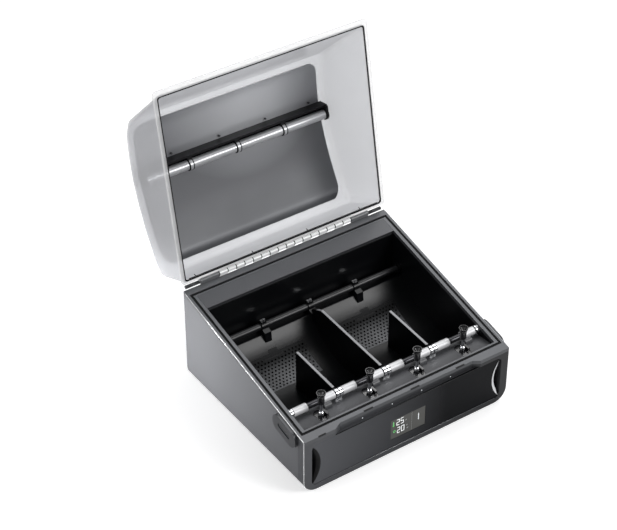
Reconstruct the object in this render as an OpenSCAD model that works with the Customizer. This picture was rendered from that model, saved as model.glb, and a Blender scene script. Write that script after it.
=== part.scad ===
// Four-bay filament dryer box with a hinged clear lid.
// Origin: centre of the footprint on the resting plane. +X right, +Y to the back, +Z up. Millimetres.

/* [Body] */
// width of the body over its side walls
body_w = 366; // [320:1:400]
// depth of the body from front face to back wall
body_d = 311.2; // [280:0.1:340]
// height of the front top edge
front_h = 98.1; // [80:0.1:120]
// slope of the rim towards the back, degrees
rim_tilt = 12.35; // [8:0.05:16]
// radius of the two lower long edges
corner_r = 22; // [10:0.5:30]
// thickness of the outer casing
wall = 3; // [2:0.5:4]
// height of the rubber feet
foot_h = 1.5; // [1:0.5:4]
// thickness of the rim frame
rim_t = 6; // [4:0.5:8]
// depth of the front bezel
bezel_d = 16; // [12:1:20]

/* [Compartment] */
// width of the rim beside the compartment
rim_side = 13; // [10:0.5:20]
// depth of the rim in front of the compartment
rim_front = 18.6; // [16:0.1:24]
// depth of the rim and ledge behind the compartment
rim_back = 43.3; // [38:0.1:50]
// width left over at each end of the row of bays
bay_end = 0.8; // [0.4:0.1:4]
// radius of the curved floor
trough_r = 107; // [104:0.5:112]
// height of the floor's centre line over the front top edge
trough_up = 49.9; // [45:0.1:55]
// thickness of the inner tub
tub_t = 2.5; // [1.5:0.5:4]
// thickness of the dividers
div_t = 4.5; // [3:0.5:6]

/* [Rollers] */
// distance of the driven rollers behind the compartment's front edge
roll_in = 40.5; // [38:0.5:44]
// height of the driven rollers over the front top edge
roll_up = 2.9; // [1:0.1:5]
// radius of the roller sleeves
sleeve_r = 6.3; // [5:0.1:8]
// length of a roller sleeve
sleeve_l = 23; // [16:0.5:26]
// distance of a roller sleeve from the divider
sleeve_in = 7; // [6.5:0.1:9]
// radius of the roller shafts
shaft_r = 4.9; // [4:0.1:6]
// radius of the shaft journals
journal_r = 3; // [2:0.1:4]
// distance of the back rod before the compartment's back edge
rod_in = 16.3; // [12:0.1:20]
// how far the back rod lies under the front top edge's height
rod_down = 1.6; // [0:0.1:4]
// radius of the back rod
rod_r = 5.3; // [4:0.1:7]
// radial clearance of every running fit
run_c = 0.05; // [0.01:0.01:0.1]

/* [Lid] */
// distance of the hinge axis behind the body
hinge_out = 2.7; // [2:0.1:6]
// height of the hinge axis over the rim plane
hinge_up = 4.075; // [3.8:0.005:6]
// angle between the shut and the open lid
open_a = 113; // [90:1:120]
// radius of the hinge barrel
barrel_r = 3.5; // [3:0.1:4]
// thickness of the lid shell
lid_t = 2.5; // [2:0.1:4]
// how far the lid's flange reaches over the body's side
lid_over = 1.5; // [0:0.1:3]
// how far the lid's front edge lies behind the rim's front edge
lid_set = 10.2; // [6:0.1:14]
// width of the lid's flange
flange_w = 8; // [6:0.1:10]
// height of the lid roof over the rim
lid_h = 131.3; // [120:0.1:140]
// radius of the lid's roof edges
roof_r = 13; // [10:0.5:18]

/* [Hidden] */
$fn = 48;
hw = body_w / 2;
hd = body_d / 2;
bot = foot_h;
floor_z = bot + wall;
cast = cos(rim_tilt);
sint = sin(rim_tilt);
bezel_back = -hd + bezel_d;
rim_len = body_d / cast;
// rim
gr_f = 14.5;
gr_b = rim_len - 12.57;
gr_x = hw - 6;
gr_w = 4;
gr_dp = 3.2;
scoop_w = hw - 53;
scoop_d = 6;
notch_x = hw - 24;
notch_p = 82.4;
notch_dp = 1.8;
// front face
panel_z0 = bot + 8.5;
panel_z1 = front_h - 12.1;
panel_mid = (panel_z0 + panel_z1) / 2;
panel_h = panel_z1 - panel_z0;
panel_hw = hw - 13;
panel_r = 9;
panel_dp = 4;
lens_r = 50.7;
lens_w = 15.5;
lens_x = panel_hw - lens_w + lens_r;
lens_depth = 12;
disp_w = 62.5;
disp_h = 36;
disp_z = panel_mid - 5;
led_t = 0.8;
led_p = 52.5;
led_z = panel_z1 + 2.2;
// compartment
bay_hw = hw - rim_side;
bay_p = (bay_hw - bay_end) / 2;
open_f = -hd + rim_front;
open_b = hd - rim_back;
ledge_t0 = (open_b + hd) / cast;
trough_z = front_h + trough_up;
deck_t = 2;
deck_z0 = front_h - 5.1;
deck_k = 0.1011;
deck_b = 14.7 - trough_r;
shelf_z = front_h - 11.8;
shelf_y = trough_r - 18.8;
grille_hw = 52.6;
grille_t = 1.8;
grille_gap = 0.25;
grille_a0 = -83;
grille_a1 = -51;
hole_p = 6.12;
hole_r = 1.6;
row_a = 2.9;
tab_hw = 7.6;
tab_a = 3.2;
heater_w = 96;
heater_l = 52;
heater_h = 24;
fan_x = bay_p;
fan_s = 80;
fan_d = 25;
fan_z = floor_z + 57.5;
fan_y = hd - wall - fan_d;
hub_r = 2;
// rollers
roll_y = open_f + roll_in;
roll_z = front_h + roll_up;
ring_hw = 5.5;
rod_y = open_b - rod_in;
rod_z = front_h - rod_down;
clamp_hw = 4.5;
screw_p = 2.3;
cap_w = 5.5;
// feeders
feed_z = front_h - 12.1;
block_w = 16.4;
block_l = deck_b - open_f - 16.3;
block_r = min(7.7, block_w / 2 - 0.5, block_l / 2 - 0.5);
block_h = 7;
block_y = open_f + 5.3 + block_l / 2;
post_y = block_y + 1.5;
block_c = 0.3;
tube_z = feed_z + 15;
tube_l = 15;
tube_bore = 1.3;
// power and control
psu_l = 110;
psu_x = -bay_hw + 20;
psu_y = bezel_back + 27.6;
board_l = 110;
board_x = bay_hw - 30 - board_l;
board_y = bezel_back + 24.6;
inlet_z = floor_z + 23.5;
port_z = front_h + 25.9;
port_r = 4.5;
// hinge
hinge_y = hd + hinge_out;
hinge_z = front_h + (hinge_y + hd) * tan(rim_tilt) + hinge_up / cast;
hinge_t = (hinge_y + hd) * cast + (hinge_z - front_h) * sint;
hinge_hw = hw - 30;
leaf_t = 1.4;
barrel_n = 16;
knuckle_p = 15;
knuckle_gap = 0.35;
knuckles_hw = barrel_n * knuckle_p / 2;
pin_r = 1.6;
// lid
lid_hw = hw + lid_over;
lid_l = hinge_t - lid_set;
skirt_hw = lid_hw - 3;
skirt_r = 8;
top_hw = lid_hw - 7;
crown_d = lid_h - roof_r;
lid_mid = lid_l / 2;
// the roof's curve: share of the lid's length, drop under the crown
roof_curve = [[-0.0064, 43.3], [0.0256, 34.3], [0.0577, 30.3], [0.1923, 15.3], [0.3205, 5.5],
  [0.4263, 0.8], [0.5288, 0], [0.609, 2], [0.6603, 4.3], [0.6843, 8.16]];
roof_line = [for (c = roof_curve) [c[0] * lid_l, crown_d - c[1]]];
roof_front = [0.7163 * lid_l, crown_d - 13.3];
// the back wall rises from this place, (t, d), to the first ball of the roof
wall_foot = [6, 3.5];
back_v = roof_line[0] - wall_foot;
wall_lean = atan2(-back_v[0], back_v[1]) + asin(roof_r / norm(back_v));
leaf_seat = 0.3;
leaf_off = wall_foot[0] * cos(wall_lean) + (wall_foot[1] - hinge_up) * sin(wall_lean) - leaf_seat;
panel_gap = lid_t + 0.35;
panel_t = 1.8;
roof_hw = lid_hw - 21.3;
roof_t0 = -3.5;
roof_t1 = 0.6987 * lid_l;
rail_hw = lid_hw - 18.5;
rail_end = 4.5;
rail_l = 17;
roller_t = lid_mid - 25;
roller_d = lid_h - 19.3;
rail_top = crown_d - 1.3 + roof_r - panel_gap - panel_t;
lid_roller_r = 7.8;
lid_ring_hw = 4;
end_gap = 0.3;
axle_r = 2;
// side latches and feet
latch_y = -hd + 43.6;
latch_z = front_h - 6.6;
latch_t = 5;
latch_l = 58;
latch_w = 28;
slot_l = 30;
slot_w = 8;
foot_x = hw - 38;
foot_y = hd - 27.6;
foot_r = 9;
foot_in = 0.8;
bays = [-1.5, -0.5, 0.5, 1.5];

// ---- frames and shared shapes ----

// children drawn in the rim plane: Y runs up the slope from the front edge, Z is the normal
module on_rim() {
  translate([0, -hd, front_h])
    rotate([rim_tilt, 0, 0])
      children();
}

// children drawn with the lid shut flat: -Y to the lid's front, Z up from the lid's rim plane
module on_lid() {
  translate([0, hinge_y, hinge_z])
    rotate([rim_tilt - open_a, 0, 0])
      translate([0, 0, -hinge_up])
        children();
}

// the half space under the rim plane, lowered by off
module under_rim(off) {
  on_rim()
    translate([-400, -200, -500 - off])
      cube([800, 900, 500]);
}

// a plate profile in the XZ plane run along Y from y0 to y1
module run_y(y0, y1) {
  translate([0, y1, 0])
    rotate([90, 0, 0])
      linear_extrude(y1 - y0)
        children();
}

// a profile drawn as (y, z) run along X from x0 to x1
module run_x(x0, x1) {
  translate([x0, 0, 0])
    rotate([90, 0, 90])
      linear_extrude(x1 - x0)
        children();
}

// a cylinder along X
module rod_x(r, x0, x1) {
  translate([x0, 0, 0])
    rotate([0, 90, 0])
      cylinder(r = r, h = x1 - x0);
}

// a cylinder along +Y
module rod_y(r, h) {
  rotate([-90, 0, 0])
    cylinder(r = r, h = h);
}

// a rectangle with round corners, centred
module round_rect(w, h, r) {
  square([w - 2 * r, h], center = true);
  square([w, h - 2 * r], center = true);
  for (sx = [-1, 1]) {
    for (sy = [-1, 1]) {
      translate([sx * (w / 2 - r), sy * (h / 2 - r)])
        circle(r);
    }
  }
}

// the body's section: round lower corners, open upwards
module section(half, r, z0) {
  translate([-half, z0 + r])
    square([2 * half, 220]);
  translate([-half + r, z0])
    square([2 * half - 2 * r, r + 1]);
  for (s = [-1, 1]) {
    translate([s * (half - r), z0 + r])
      circle(r, $fn = 96);
  }
}

// ---- outer body ----

// children at each of the four feet
module on_feet() {
  for (sx = [-1, 1]) {
    for (sy = [-1, 1]) {
      translate([sx * foot_x, sy * foot_y, 0])
        children();
    }
  }
}

module vent_slots() {
  for (i = [-3:3]) {
    translate([i * 10, -wall - 1, 0])
      translate([-2, 0, -26])
        cube([4, wall + 2, 52]);
  }
}

module outer_casing() {
  color([0.2, 0.21, 0.22])
  difference() {
    intersection() {
      run_y(bezel_back, hd)
        section(hw, corner_r, bot);
      under_rim(rim_t);
    }
    run_y(bezel_back - 1, hd - wall)
      section(hw - wall, corner_r - wall, floor_z);
    for (s = [-1, 1]) {
      translate([s * fan_x, hd, fan_z])
        vent_slots();
    }
    for (k = bays) {
      translate([k * bay_p, hd - wall - 1, port_z])
        rod_y(port_r, wall + 2);
    }
    translate([-14, hd - wall - 1, inlet_z - 10])
      cube([28, wall + 2, 20]);
    for (i = [-6:5]) {
      translate([i * 12 + 4, -40, bot - 1])
        cube([4, 60, wall + 2]);
    }
    on_feet()
      translate([0, 0, bot - 1])
        cylinder(r = foot_r + 0.3, h = foot_in + 1);
  }
}

module scoop_cut() {
  translate([0, 0, panel_z1])
    linear_extrude(60)
      polygon([[-scoop_w, -hd - 1], [scoop_w, -hd - 1], [scoop_w, -hd],
        [scoop_w - 12, -hd + scoop_d], [-scoop_w + 12, -hd + scoop_d], [-scoop_w, -hd]]);
}

module lens_2d(s) {
  intersection() {
    translate([s * lens_x, panel_mid])
      circle(lens_r, $fn = 128);
    translate([0, panel_mid])
      round_rect(2 * panel_hw, panel_h, panel_r);
  }
}

module front_bezel() {
  color([0.2, 0.2, 0.21])
  difference() {
    intersection() {
      run_y(-hd, bezel_back)
        section(hw, corner_r, bot);
      under_rim(rim_t);
    }
    run_y(-hd - 1, -hd + panel_dp)
      translate([0, panel_mid])
        round_rect(2 * panel_hw, panel_h, panel_r);
    for (s = [-1, 1]) {
      run_y(-hd - 1, -hd + lens_depth)
        lens_2d(s);
    }
    scoop_cut();
    translate([-disp_w / 2 + 4, -hd - 1, disp_z - disp_h / 2 + 4])
      cube([disp_w - 8, bezel_d + 2, disp_h - 8]);
    for (k = bays) {
      translate([k * led_p, -hd, led_z])
        rod_y(led_t, bezel_d + 1);
    }
  }
}

module front_panel() {
  color([0.05, 0.05, 0.06])
  difference() {
    run_y(-hd + 1, -hd + panel_dp)
      translate([0, panel_mid])
        round_rect(2 * panel_hw - 1.2, panel_h - 1.2, panel_r - 0.6);
    for (s = [-1, 1]) {
      run_y(-hd - 1, -hd + lens_depth)
        lens_2d(s);
    }
    translate([-disp_w / 2, -hd - 1, disp_z - disp_h / 2])
      cube([disp_w, 6, disp_h]);
  }
}

module display_window() {
  color([0.03, 0.05, 0.04])
  translate([-disp_w / 2 + 0.2, -hd + 1.5, disp_z - disp_h / 2 + 0.2])
    cube([disp_w - 0.4, panel_dp - 1.5, disp_h - 0.4]);
}

module display_board() {
  color([0.05, 0.25, 0.12])
  union() {
    translate([-disp_w / 2 + 5.25, -hd + panel_dp, disp_z - disp_h / 2 + 5])
      cube([disp_w - 10.5, bezel_d - panel_dp, disp_h - 10]);
    translate([-45, bezel_back, disp_z - 20])
      cube([90, 1.6, 40]);
  }
}

module status_lights() {
  color([0.95, 0.97, 1])
  for (k = bays) {
    translate([k * led_p, -hd + scoop_d + 0.3, led_z])
      rod_y(led_t, bezel_d - scoop_d - 0.3);
  }
}

module rim_frame() {
  color([0.3, 0.31, 0.32])
  difference() {
    intersection() {
      on_rim()
        translate([-hw, -20, -rim_t])
          cube([body_w, rim_len + 40, rim_t]);
      translate([-hw, -hd, 0])
        cube([body_w, body_d, 300]);
    }
    on_rim()
      translate([-bay_hw, (open_f + hd) / cast, -rim_t - 1])
        cube([2 * bay_hw, gr_b - (open_f + hd) / cast - gr_w, rim_t + 2]);
    on_rim()
      translate([0, 0, -gr_dp])
        groove_ring(gr_dp + 1);
    scoop_cut();
    for (i = [0:3]) {
      on_rim()
        translate([-notch_x + i * notch_p, i == 0 ? -1 : scoop_d / cast - 1, -notch_dp])
          cube([i == 0 ? 13 : 16, 2.8, 4]);
    }
  }
}

module groove_ring(h) {
  difference() {
    translate([-gr_x - gr_w / 2, gr_f - gr_w / 2, 0])
      cube([2 * gr_x + gr_w, gr_b - gr_f + gr_w, h]);
    translate([-gr_x + gr_w / 2, gr_f + gr_w / 2, -1])
      cube([2 * gr_x - gr_w, gr_b - gr_f - gr_w, h + 2]);
  }
}

module rim_gasket() {
  color([0.02, 0.02, 0.02])
  on_rim()
    translate([0, 0, -gr_dp])
      difference() {
        translate([-gr_x - gr_w / 2 + 0.4, gr_f - gr_w / 2 + 0.4, 0])
          cube([2 * gr_x + gr_w - 0.8, gr_b - gr_f + gr_w - 0.8, 2]);
        translate([-gr_x + gr_w / 2 - 0.4, gr_f + gr_w / 2 - 0.4, -1])
          cube([2 * gr_x - gr_w + 0.8, gr_b - gr_f - gr_w + 0.8, 4]);
      }
}

module rear_ledge() {
  color([0.25, 0.26, 0.27])
  on_rim()
    translate([-bay_hw + 0.3, ledge_t0, -rim_t])
      cube([2 * bay_hw - 0.6, gr_b - gr_w - 0.3 - ledge_t0, rim_t]);
}

// ---- compartment ----

module tub_space(g) {
  translate([0, trough_z])
    circle(trough_r + g, $fn = 180);
  polygon([[open_f - g, deck_z0 - g], [deck_b + 0.8, deck_z(deck_b + 0.8) - g],
    [0, trough_z - 88], [shelf_y, shelf_z - g], [open_b + g, shelf_z - g],
    [open_b + g, 320], [open_f - g, 320]]);
}

module tub_section(g) {
  intersection() {
    tub_space(g);
    translate([open_f - g, 0])
      square([open_b - open_f + 2 * g, 320]);
  }
}

// a part of a ring about the floor's centre line, between two angles and two places along X
module sector(r0, r1, x0, x1, a0, a1) {
  run_x(x0, x1)
    difference() {
      intersection() {
        translate([0, trough_z])
          circle(r1, $fn = 180);
        translate([0, trough_z])
          polygon([[0, 0], [300 * cos(a0), 300 * sin(a0)], [300 * cos(a1), 300 * sin(a1)]]);
      }
      translate([0, trough_z])
        circle(r0, $fn = 180);
    }
}

module grille_hole(s) {
  x = s * bay_p;
  sector(trough_r - 5, trough_r + 12, x - grille_hw, x + grille_hw, grille_a0, grille_a1);
  sector(trough_r - 5, trough_r + 12, x - tab_hw, x + tab_hw, grille_a1 - 1, grille_a1 + tab_a);
}

module inner_tub() {
  color([0.05, 0.05, 0.055])
  difference() {
    intersection() {
      run_x(-bay_hw - tub_t, bay_hw + tub_t)
        tub_section(tub_t);
      under_rim(rim_t);
    }
    run_x(-bay_hw, bay_hw)
      tub_section(0);
    for (s = [-1, 1]) {
      grille_hole(s);
    }
  }
}

function deck_z(y) = deck_z0 - deck_k * (y - open_f);

module deck_2d() {
  polygon([[open_f, deck_z0], [open_f, deck_z0 + deck_t], [deck_b, deck_z(deck_b) + deck_t],
    [deck_b, deck_z(deck_b)]]);
}

// the space over a plane parallel to the front deck, raised by off from the tub
module over_deck(off) {
  run_x(-300, 300)
    polygon([[open_f - 13, deck_z(open_f - 13) + off], [roll_y + 36, deck_z(roll_y + 36) + off],
      [roll_y + 36, 300], [open_f - 13, 300]]);
}

module front_deck() {
  color([0.35, 0.36, 0.37])
  difference() {
    run_x(-bay_hw, bay_hw)
      deck_2d();
    for (k = bays) {
      translate([k * bay_p, 0, feed_z - 6])
        linear_extrude(30)
          translate([0, block_y])
            round_rect(block_w + 2 * block_c, block_l + 2 * block_c, block_r + block_c);
    }
  }
}

module grille(s) {
  x = s * bay_p;
  edge = grille_hw - grille_gap;
  tab = tab_hw - grille_gap;
  gap_a = 0.12;
  color([0.2, 0.21, 0.22])
  difference() {
    union() {
      sector(trough_r, trough_r + grille_t, x - edge, x + edge, grille_a0 + gap_a, grille_a1 - gap_a);
      sector(trough_r, trough_r + grille_t, x - tab, x + tab, grille_a1 - 1, grille_a1 + tab_a - gap_a);
    }
    for (j = [0:9]) {
      for (i = [-8:8 - j % 2]) {
        if (j > 0 || abs(i) > 3) {
          translate([x + (i + (j % 2) / 2) * hole_p, 0, trough_z])
            rotate([grille_a1 + 90 - 3.45 - j * row_a, 0, 0])
              translate([0, 0, -trough_r - 4])
                cylinder(r = hole_r, h = 8, $fn = 20);
        }
      }
    }
    translate([x, 0, trough_z])
      rotate([grille_a1 + 90 - 3.45, 0, 0])
        translate([-18.7, -1.4, -trough_r - 4])
          cube([37.4, 2.8, 8]);
  }
}

module grille_left() {
  grille(-1);
}

module grille_right() {
  grille(1);
}

module heater(s) {
  color([0.55, 0.5, 0.42])
  difference() {
    translate([s * bay_p, 0, trough_z])
      rotate([(grille_a0 + grille_a1) / 2 + 90, 0, 0])
        difference() {
          translate([-heater_w / 2, -heater_l / 2, -trough_r - 20])
            cube([heater_w, heater_l, heater_h]);
          for (i = [0:10]) {
            translate([-heater_w / 2 + 5 + i * 8, -heater_l / 2 + 6, -trough_r - 21])
              cube([5, heater_l - 12, heater_h + 6]);
          }
        }
    translate([0, 0, trough_z])
      rod_x(trough_r + tub_t, -200, 200);
  }
}

module heater_left() {
  heater(-1);
}

module heater_right() {
  heater(1);
}

module fan_frame(s) {
  color([0.1, 0.1, 0.11])
  translate([s * fan_x, fan_y, fan_z])
    union() {
      difference() {
        translate([-fan_s / 2, 0, -fan_s / 2])
          cube([fan_s, fan_d, fan_s]);
        translate([0, -1, 0])
          rod_y(fan_s / 2 - 2, fan_d + 2);
        for (sx = [-1, 1]) {
          for (sz = [-1, 1]) {
            translate([sx * (fan_s / 2 - 4.25), -1, sz * (fan_s / 2 - 4.25)])
              rod_y(2.2, fan_d + 2);
          }
        }
      }
      rod_y(14, 3);
      for (a = [45, 135, 225, 315]) {
        rotate([0, a, 0])
          translate([10, 0.5, -2])
            cube([fan_s / 2 - 9, 2, 4]);
      }
      translate([0, 1, 0])
        rod_y(hub_r, fan_d - 8);
    }
}

module fan_frame_left() {
  fan_frame(-1);
}

module fan_frame_right() {
  fan_frame(1);
}

module fan_rotor(s) {
  color([0.12, 0.12, 0.13])
  translate([s * fan_x, fan_y + 4, fan_z])
    difference() {
      union() {
        rod_y(15, fan_d - 8);
        for (a = [0:40:320]) {
          rotate([0, a, 0])
            translate([13, 3, 0])
              rotate([35, 0, 0])
                translate([0, 0, -1])
                  cube([fan_s / 2 - 18, 11, 2]);
        }
      }
      translate([0, -1, 0])
        rod_y(hub_r + run_c, fan_d - 9.5);
    }
}

module fan_rotor_left() {
  fan_rotor(-1);
}

module fan_rotor_right() {
  fan_rotor(1);
}

module divider(x, y0, y1, z0, z1, tail) {
  color([0.1, 0.1, 0.11])
  run_x(x - div_t / 2, x + div_t / 2)
    intersection() {
      translate([0, trough_z])
        circle(trough_r, $fn = 180);
      polygon([[y0, 20], [y0, z0], [y1, z1], [y1 + tail, z1 - tail / 2], [y1 + tail, 20]]);
    }
}

module divider_centre() {
  divider(0, roll_y + 10.5, rod_y - 34, front_h + 5.7, front_h + 10.7, 24);
}

module divider_left() {
  divider(-bay_p, roll_y + 10.5, 5, front_h + 4.9, front_h + 8.7, 0);
}

module divider_right() {
  divider(bay_p, roll_y + 10.5, 5, front_h + 4.9, front_h + 8.7, 0);
}

// ---- rollers ----

module bearing_block(x0, x1) {
  xm = (x0 + x1) / 2;
  difference() {
    union() {
      translate([0, roll_y, roll_z])
        rod_x(sleeve_r + 1, x0, x1);
      intersection() {
        translate([x0, roll_y - 3.5, roll_z - 15])
          cube([x1 - x0, 7, 12]);
        over_deck(deck_t);
      }
    }
    translate([0, roll_y, roll_z])
      rod_x(journal_r + run_c, -200, 200);
    translate([0, roll_y, roll_z])
      difference() {
        rod_x(sleeve_r + 3, xm - 0.9, xm + 0.9);
        rod_x(sleeve_r - 0.3, xm - 2, xm + 2);
      }
  }
}

module roller_bearings() {
  color([0.85, 0.86, 0.88])
  union() {
    bearing_block(-bay_hw + 0.2, -2 * bay_p + ring_hw);
    for (i = [-1, 0, 1]) {
      bearing_block(i * bay_p - ring_hw, i * bay_p + ring_hw);
    }
    bearing_block(2 * bay_p - ring_hw, bay_hw - 0.2);
  }
}

module roller_shaft(k) {
  color([0.12, 0.12, 0.13])
  translate([k * bay_p, roll_y, roll_z])
    union() {
      rod_x(shaft_r, -bay_p / 2 + ring_hw + 0.7, bay_p / 2 - ring_hw - 0.7);
      rod_x(journal_r, -bay_p / 2 + 0.6, bay_p / 2 - 0.6);
    }
}

module roller_sleeves(k) {
  color([0.75, 0.76, 0.78])
  translate([k * bay_p, roll_y, roll_z])
    for (s = [-1, 1]) {
      difference() {
        translate([s * (bay_p / 2 - sleeve_in - sleeve_l / 2), 0, 0])
          rod_x(sleeve_r, -sleeve_l / 2, sleeve_l / 2);
        rod_x(shaft_r, -bay_p, bay_p);
      }
    }
}

module roller_shaft_1() {
  roller_shaft(-1.5);
}

module roller_shaft_2() {
  roller_shaft(-0.5);
}

module roller_shaft_3() {
  roller_shaft(0.5);
}

module roller_shaft_4() {
  roller_shaft(1.5);
}

module roller_sleeves_1() {
  roller_sleeves(-1.5);
}

module roller_sleeves_2() {
  roller_sleeves(-0.5);
}

module roller_sleeves_3() {
  roller_sleeves(0.5);
}

module roller_sleeves_4() {
  roller_sleeves(1.5);
}

module drive_housings() {
  color([0.3, 0.31, 0.32])
  for (k = bays) {
    intersection() {
      translate([k * bay_p + 12, 0, 0])
        difference() {
          union() {
            translate([0, roll_y - 8, roll_z - 6])
              rod_x(5.4, 0, 12);
            translate([0, roll_y - 13.4, roll_z - 13])
              cube([12, 10.8, 7]);
          }
          translate([0, roll_y, roll_z])
            rod_x(sleeve_r + 1, -1, 13);
        }
      over_deck(deck_t);
    }
  }
}

module rear_rod() {
  color([0.04, 0.04, 0.045])
  translate([0, rod_y, rod_z])
    union() {
      rod_x(rod_r, -bay_hw + cap_w + 0.5, bay_hw - cap_w - 0.5);
      rod_x(journal_r, -bay_hw + 2.5, bay_hw - 2.5);
    }
}

module clamp_screws() {
  color([0.85, 0.86, 0.88])
  for (i = [-1, 0, 1]) {
    for (s = [-1, 1]) {
      translate([i * bay_p + s * screw_p, rod_y, rod_z + rod_r + 0.5])
        union() {
          cylinder(r = 1, h = 3.6);
          translate([0, 0, 3.6])
            cylinder(r = 2, h = 1.6);
        }
    }
  }
}

module rod_brackets() {
  color([0.05, 0.05, 0.055])
  for (i = [-1, 0, 1]) {
    difference() {
      union() {
        translate([i * bay_p, rod_y, rod_z])
          rod_x(rod_r + 2.1, -clamp_hw, clamp_hw);
        translate([i * bay_p - clamp_hw, rod_y - 4, rod_z + 3])
          cube([2 * clamp_hw, 8, rod_r + 1.1]);
        run_x(i * bay_p - 5.5, i * bay_p + 5.5)
          difference() {
            polygon([[rod_y - 17, rod_z - 19], [rod_y - 15, rod_z - 3.5], [rod_y - 8, rod_z - 1],
              [rod_y + 8, rod_z - 1], [rod_y + 8, shelf_z], [shelf_y, shelf_z],
              [shelf_y - 1.2, shelf_z - 26]]);
            difference() {
              translate([shelf_y - 28, shelf_z - 46])
                square([60, 46]);
              translate([0, trough_z])
                circle(trough_r, $fn = 180);
            }
          }
      }
      translate([0, rod_y, rod_z])
        rod_x(rod_r + run_c, -200, 200);
      for (s = [-1, 1]) {
        translate([i * bay_p + s * screw_p, rod_y, rod_z + rod_r + 0.5])
          cylinder(r = 1, h = 6);
      }
      if (i == 0) {
        translate([-div_t / 2, rod_y - 56, 40])
          cube([div_t, 46, 80]);
      }
    }
  }
}

module rod_end_caps() {
  color([0.12, 0.12, 0.13])
  for (s = [-1, 1]) {
    translate([0, rod_y, rod_z])
      difference() {
        translate([s * (bay_hw - cap_w / 2), 0, 0])
          rod_x(rod_r + 2.7, -cap_w / 2, cap_w / 2);
        rod_x(journal_r + run_c, -bay_hw + 2, bay_hw - 2);
      }
  }
}

// ---- filament feeders ----

module feed_funnels() {
  color([0.12, 0.12, 0.13])
  for (k = bays) {
    translate([k * bay_p, post_y, tube_z + tube_l])
      rotate_extrude($fn = 64)
        polygon([[tube_bore, 0], [5, 0], [5, 12], [4.5, 13.4], [6.3, 15.5], [6.9, 19],
          [6.2, 19], [5.2, 16.5], [tube_bore, 13]]);
  }
}

module feed_tubes() {
  color([0.75, 0.76, 0.78])
  for (k = bays) {
    translate([k * bay_p, post_y, tube_z])
      difference() {
        cylinder(r = 2.4, h = tube_l);
        translate([0, 0, -1])
          cylinder(r = tube_bore, h = tube_l + 2);
      }
  }
}

module feed_couplings() {
  color([0.85, 0.86, 0.88])
  for (k = bays) {
    translate([k * bay_p, post_y, feed_z + block_h + 4.2])
      intersection() {
        sphere(r = 4.7, $fn = 48);
        translate([-6, -6, -4.2])
          cube([12, 12, 8]);
      }
  }
}

module feed_blocks() {
  color([0.03, 0.03, 0.035])
  for (k = bays) {
    intersection() {
      translate([k * bay_p, block_y, feed_z])
        union() {
          linear_extrude(block_h)
            round_rect(block_w, block_l, block_r);
          translate([block_w / 2 - 3, -5.8, 0])
            cube([3, 11.6, block_h + 5.5]);
        }
      over_deck(0);
    }
  }
}

// ---- power and control ----

module power_supply() {
  color([0.6, 0.61, 0.62])
  difference() {
    translate([psu_x, psu_y, floor_z])
      cube([psu_l, 62, 34]);
    for (i = [0:8]) {
      translate([psu_x + 10 + i * 11, psu_y - 1, floor_z + 11.5])
        cube([5, 4, 14]);
    }
  }
}

module mainboard() {
  color([0.05, 0.25, 0.12])
  union() {
    translate([board_x, board_y, floor_z + 7.5])
      cube([board_l, 66, 1.6]);
    for (x = [board_x + 5, board_x + board_l - 5]) {
      for (y = [board_y + 5, board_y + 61]) {
        translate([x, y, floor_z])
          cylinder(r = 3, h = 8);
      }
    }
    translate([board_x + 20, board_y + 15, floor_z + 8.5])
      cube([22, 22, 4]);
    translate([board_x + 60, board_y + 45, floor_z + 8.5])
      cube([34, 12, 10]);
    translate([board_x + 58, board_y + 7, floor_z + 8.5])
      cube([40, 8, 9]);
  }
}

module power_inlet() {
  color([0.04, 0.04, 0.045])
  translate([0, 0, inlet_z])
    difference() {
      union() {
        translate([-13.8, hd - 18, -9.8])
          cube([27.6, 18.1, 19.6]);
        translate([-19, hd, -13])
          cube([38, 2, 26]);
      }
      difference() {
        translate([-11, hd - 13, -7])
          cube([22, 16, 14]);
        for (x = [-6, 0, 6]) {
          translate([x - 1, hd - 14, x == 0 ? -1.5 : -4])
            cube([2, 7.5, 5.5]);
        }
      }
    }
}

module outlet_ports() {
  color([0.1, 0.1, 0.11])
  for (k = bays) {
    translate([k * bay_p, hd, port_z])
      difference() {
        union() {
          translate([0, -wall - 4, 0])
            rod_y(port_r - 0.1, wall + 4.5);
          rod_y(7, 2);
        }
        translate([0, -10, 0])
          rod_y(1.6, 20);
      }
  }
}

// ---- hinge ----

function knuckle_x0(i) = -knuckles_hw + i * knuckle_p + knuckle_gap / 2;

module barrel(x0, x1) {
  difference() {
    translate([0, hinge_y, hinge_z])
      rod_x(barrel_r, x0, x1);
    translate([0, hinge_y, hinge_z])
      rod_x(pin_r + run_c, -400, 400);
  }
}

module hinge_base_leaf() {
  color([0.3, 0.31, 0.32])
  union() {
    for (i = [0:2:barrel_n - 2]) {
      barrel(knuckle_x0(i), knuckle_x0(i) + knuckle_p - knuckle_gap);
      difference() {
        translate([knuckle_x0(i), hd, hinge_z - 13])
          cube([knuckle_p - knuckle_gap, leaf_t, 13]);
        translate([0, hinge_y, hinge_z])
          rod_x(pin_r + 0.6, -400, 400);
      }
    }
    for (s = [-1, 1]) {
      x0 = s > 0 ? knuckles_hw + 0.3 : -hinge_hw;
      barrel(x0, x0 + hinge_hw - knuckles_hw - 0.3);
      difference() {
        translate([x0, hd, hinge_z - 13])
          cube([hinge_hw - knuckles_hw - 0.3, leaf_t, 13]);
        translate([0, hinge_y, hinge_z])
          rod_x(pin_r + 0.6, -400, 400);
      }
    }
    translate([-hinge_hw, hd, hinge_z - 21])
      cube([2 * hinge_hw, leaf_t, 14]);
  }
}

module hinge_pin() {
  color([0.8, 0.81, 0.83])
  translate([0, hinge_y, hinge_z])
    rod_x(pin_r, -hinge_hw - 1, hinge_hw + 1);
}

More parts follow.
